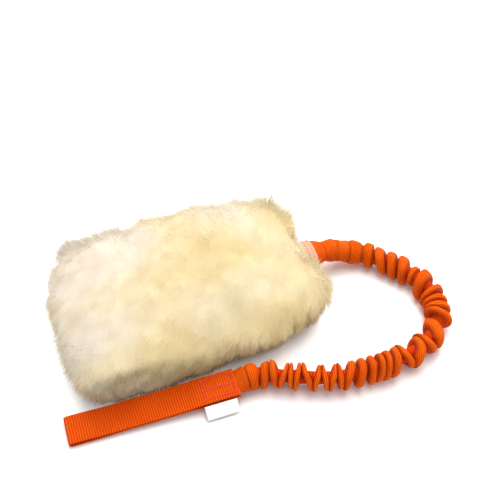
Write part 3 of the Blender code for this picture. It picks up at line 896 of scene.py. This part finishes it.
def web_section():
    """Points round the tape's cross-section as (across, through) shares, with round selvages."""
    top = np.linspace(-1, 1, 17)
    edge = np.linspace(math.pi / 2, -math.pi / 2, 7)[1:-1]
    upper = [(share * 0.95, 1.0) for share in top]
    right = [(0.95 + 0.05 * math.cos(angle), math.sin(angle)) for angle in edge]
    lower = [(-share * 0.95, -1.0) for share in top]
    left = [(-0.95 - 0.05 * math.cos(angle), -math.sin(angle)) for angle in edge]
    return np.array(upper + right + lower + left)


def web_piece(name, line, cloth, material):
    """Webbing along a centre line in the loop's x-z plane, with ribs across it and beaded selvages."""
    section = web_section()
    tangent = unit(np.gradient(line, axis=0))
    normal = np.stack([-tangent[:, 1], tangent[:, 0]], -1)
    wave = 0.5 + 0.5 * np.cos(2 * math.pi * cloth / WEB_RIB)
    half_width = WEB_WIDTH / 2 + (wave - 1) * 0.30 * MM
    half_thick = WEB_THICKNESS / 2 + (wave - 1) * 0.24 * MM
    y = section[None, :, 0] * half_width[:, None]
    thinning = 1 - 0.12 * smoothstep(0.82, 1.0, np.abs(section[:, 0]))
    thickness = section[None, :, 1] * half_thick[:, None] * thinning
    x = line[:, None, 0] + normal[:, None, 0] * thickness
    z = line[:, None, 1] + normal[:, None, 1] * thickness
    z = z + strap_sag(line[:, None, 0] + 0 * y, y)
    grid = handle.world(x, y, z)
    grid[..., 2] = np.maximum(grid[..., 2], 0.25 * MM)
    rows, columns = grid.shape[:2]
    faces = grid_faces(rows, columns, True).tolist()
    faces.append(list(range(columns)))
    faces.append(list(reversed(range((rows - 1) * columns, rows * columns))))
    mesh = bpy.data.meshes.new(name)
    mesh.from_pydata(grid.reshape(-1, 3).tolist(), [], faces)
    mesh.materials.append(material)
    mesh.flip_normals()
    mesh.shade_smooth()
    mesh.set_sharp_from_angle(angle=math.radians(70))
    piece = link_object(name, mesh)
    set_attribute(piece, "cloth", np.repeat(cloth, columns))
    return piece


def straight(start, end, side):
    """Centre line and cloth length of one stretch of ply, upper for side 1 and lower for side -1."""
    x = np.linspace(start, end, max(2, int((end - start) / (WEB_RIB / 7))))
    return np.stack([x, side * ply_level(x)], -1), x


def make_handle(material, thread):
    pivot_near = handle_local(joint_place("handle_open"))[0]
    pivot_middle = handle_local(joint_place("handle_open_top_far"))[0]
    fold_x = 2 * pivot_middle - pivot_near
    line, cloth = straight(LOOP_START, pivot_near + 6 * MM, 1)
    piece = web_piece("loop_upper_neck", line, cloth, material)
    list(handle_span(pivot_near, 5 * MM))
    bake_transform(piece)
    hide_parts("loop_top_neck")
    line, cloth = straight(pivot_near + 6 * MM, pivot_middle + 8 * MM, 1)
    piece = web_piece("loop_upper_near", line, cloth, material)
    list(handle_span(pivot_middle, 7 * MM))
    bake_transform(piece)
    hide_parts("loop_top_near")
    line, cloth = straight(pivot_middle + 8 * MM, fold_x, 1)
    radius = line[-1, 1]
    angles = np.linspace(math.pi / 2, -math.pi / 2, 26)[1:]
    turn = np.stack([fold_x + radius * np.cos(angles), radius * np.sin(angles)], -1)
    turn_cloth = cloth[-1] + radius * (math.pi / 2 - angles)
    line, cloth = np.vstack([line, turn]), np.concatenate([cloth, turn_cloth])
    piece = web_piece("loop_upper_far", line, cloth, material)
    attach(piece, "loop_top_far")
    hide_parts("loop_top_far", "loop_fold")
    line, cloth = straight(pivot_middle + 7 * MM, fold_x - 0.4 * MM, -1)
    piece = web_piece("loop_lower_far", line, cloth, material)
    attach(piece, "loop_bottom_far")
    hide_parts("loop_bottom_far")
    line, cloth = straight(LOOP_START, pivot_middle + 7 * MM, -1)
    piece = web_piece("loop_lower_near", line, cloth, material)
    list(handle_span(pivot_middle, 6 * MM))
    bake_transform(piece)
    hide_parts("loop_bottom_near")
    piece = loop_stitches(thread)
    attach(piece, "handle_neck")
    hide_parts("handle_zigzag")


def handle_local(point):
    offset = np.asarray(point) - handle.origin
    return np.array([offset @ handle.x, offset @ handle.y, offset @ handle.z])


def handle_span(middle, half):
    """Ends of a stretch of the loop, half to either side of its middle."""
    return [handle.world(np.array(place), 0.0, 0.0) for place in (middle - half, middle + half)]


def loop_stitches(thread):
    """Dense zigzag bars sewn through the neck: along its middle and its edges, and across its ends."""
    lines = []

    def stitch(x0, y0, x1, y1):
        share = np.linspace(0, 1, 5)
        x, y = x0 + (x1 - x0) * share, y0 + (y1 - y0) * share
        height = ply_level(x) + WEB_THICKNESS / 2 + strap_sag(x, y)
        lines.append(handle.world(x, y, height + (np.sin(share * math.pi) * 0.35 - 0.15) * MM))

    start, end = STITCH_SPAN
    for y, half, step in ((0.0, 1.9, 0.75), (8.6, 1.1, 0.85), (-8.6, 1.1, 0.85)):
        for index, x in enumerate(np.arange(start, end, step)):
            flip = 1 if index % 2 else -1
            stitch(x * MM, (y - half * flip) * MM, (x + step) * MM, (y + half * flip) * MM)
    for x, half in ((start, 1.1), (end, 1.1)):
        for index, y in enumerate(np.arange(-9.6, 9.6, 0.85)):
            flip = 1 if index % 2 else -1
            stitch((x - half * flip) * MM, y * MM, (x + half * flip) * MM, (y + 0.85) * MM)
    return thread_piece("loop_stitches", lines, 0.36 * MM, thread)


def make_label(material):
    """The blank label: one strip folded double, creased along its free edge, its ends a little apart."""
    hinge = joint_place("label_flap")
    axis = unit(joint("label_flap")["axis"])
    low, high = (np.array(corner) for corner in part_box("cloth_label"))
    centre = (low + high) / 2
    down = centre - hinge
    down = unit(down - axis * (down @ axis))
    out = np.cross(axis, down)
    along = np.linspace(-1, 1, 27) * LABEL_HALF
    gap, depth = LABEL_GAP, LABEL_DEPTH
    outline = [(share * depth, gap * (0.6 + 0.4 * share)) for share in np.linspace(0, 1, 12)]
    turn = np.linspace(math.pi / 2, -math.pi / 2, 7)[1:-1]
    outline += [(depth + gap * math.cos(angle), gap * math.sin(angle)) for angle in turn]
    outline += [(share * depth, -gap * (0.6 + 0.4 * share)) for share in np.linspace(1, 0, 12)]
    outline = np.array(outline)
    wave = np.sin(along / LABEL_HALF * 2.2)[:, None] * 0.5 * MM
    reach = outline[None, :, 0]
    lift = outline[None, :, 1] + wave * (reach / depth) ** 2
    grid = hinge + along[:, None, None] * axis + reach[..., None] * down + lift[..., None] * out
    grid[..., 2] = np.maximum(grid[..., 2], 0.3 * MM)
    piece = mesh_object("label_tape", grid, grid_faces(len(along), len(outline), False), material)
    wall = piece.modifiers.new("wall", "SOLIDIFY")
    wall.thickness = 0.22 * MM
    wall.offset = 0
    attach(piece, "label")
    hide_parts("cloth_label")


# ---------------------------------------------------------------- carried CAD nodes, stage, light, camera


def dress_cad_nodes(thread):
    """Procedural finishes for the CAD pieces that stay: skins, core, seams, strap, cords and tacks."""
    hide = mottled_material("suede_hide", (0.52, 0.38, 0.24), (0.68, 0.54, 0.38), 220, 0.85, 0.15)
    felt = mottled_material("needled_felt", (0.55, 0.53, 0.48), (0.74, 0.72, 0.66), 500, 0.95, 0.3)
    seam = mottled_material("waxed_cord", (0.62, 0.52, 0.36), (0.80, 0.70, 0.52), 900, 0.7, 0.1)
    tape = mottled_material("apricot_tape", (0.72, 0.42, 0.26), (0.86, 0.56, 0.38), 400, 0.75, 0.15)
    tongue = mottled_material("sewn_tongue", (0.60, 0.07, 0.005), (0.82, 0.13, 0.01), 600, 0.65, 0.15)
    elastic = braid_material()
    finishes = (("hide_", hide), ("felt_", felt), ("edge_seam", seam))
    finishes += (("anchor_strap", tape), ("anchor_stitches", thread))
    finishes += (("neck_cord", elastic), ("neck_cord_tack", thread), ("elastic_cord", elastic))
    finishes += (("handle_cord", thread), ("sleeve_tongue", tongue))
    for name, node in frame["nodes"].items():
        for start, finish in finishes:
            if name.startswith(start):
                for slot in node.material_slots:
                    slot.material = finish


def make_stage():
    """A white floor, a white room and soft lamps high up, the largest behind the bumper."""
    finish = Finish("paper", 0.9)
    finish.colour(finish.ramp(finish.noise(3, 2.0), (0.3, (0.93, 0.93, 0.93)), (0.7, (0.94, 0.94, 0.94))))
    corners = [(x * FLOOR_HALF, y * FLOOR_HALF, 0) for x, y in ((-1, -1), (1, -1), (1, 1), (-1, 1))]
    mesh_object("floor", corners, [[0, 1, 2, 3]], finish.material, smooth=False)
    world = bpy.data.worlds.new("studio")
    world.use_nodes = True
    background = world.node_tree.nodes["Background"]
    background.inputs["Color"].default_value = SKY_COLOUR
    background.inputs["Strength"].default_value = SKY_STRENGTH
    bpy.context.scene.world = world
    for lamp in LAMPS:
        add_lamp(*lamp)


def add_lamp(name, place, size, power):
    data = bpy.data.lights.new(name, "AREA")
    data.shape = "DISK"
    data.size = size
    data.energy = power
    lamp = link_object(name, data)
    lamp.location = place
    lamp.rotation_euler = (Vector((0.05, 0, 0)) - Vector(place)).to_track_quat("-Z", "Y").to_euler()


def make_camera():
    data = bpy.data.cameras.new("camera")
    data.angle = CAMERA_ANGLE
    data.clip_start = 0.01
    camera = link_object("camera", data)
    camera.location = CAMERA_AT
    aim = Vector(CAMERA_TARGET) - Vector(CAMERA_AT)
    camera.rotation_euler = aim.to_track_quat("-Z", "Y").to_euler()
    bpy.context.scene.camera = camera
    bpy.context.scene.view_settings.view_transform = "Standard"


# ---------------------------------------------------------------- build


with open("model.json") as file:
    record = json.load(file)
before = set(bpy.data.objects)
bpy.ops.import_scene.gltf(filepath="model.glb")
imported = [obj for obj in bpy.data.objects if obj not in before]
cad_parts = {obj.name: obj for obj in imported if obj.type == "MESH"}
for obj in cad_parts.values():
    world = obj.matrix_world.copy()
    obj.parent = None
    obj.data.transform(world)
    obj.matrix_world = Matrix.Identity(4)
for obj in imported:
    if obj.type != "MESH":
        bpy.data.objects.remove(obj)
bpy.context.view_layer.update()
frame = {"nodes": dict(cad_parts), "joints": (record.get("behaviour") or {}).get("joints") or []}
view_direction = unit(np.array(CAMERA_TARGET) - np.array(CAMERA_AT))
wool_boxes = [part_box(name) for name in frame["nodes"] if name.startswith("wool_")]
pad_box = np.array([np.min([box[0] for box in wool_boxes], 0), np.max([box[1] for box in wool_boxes], 0)])
path = strap_path()
handle = HandleFrame()

orange = webbing_material("orange_sleeve", (0.62, 0.040, 0.001), (1.0, 0.185, 0.003), RIB_PITCH, 900)
loop_orange = webbing_material("orange_webbing", (0.56, 0.048, 0.001), (0.82, 0.104, 0.003), WEB_RIB, 900)
apricot = webbing_material("apricot_cuff", (0.72, 0.40, 0.24), (0.95, 0.66, 0.48), 1.1 * MM, 700)
red_thread = mottled_material("orange_thread", (0.50, 0.028, 0.001), (0.76, 0.068, 0.002), 1500, 0.6)

make_pad()
sleeve_pieces(orange)
make_cuff(apricot, red_thread)
make_handle(loop_orange, red_thread)
make_label(label_material())
dress_cad_nodes(red_thread)
make_stage()
make_camera()
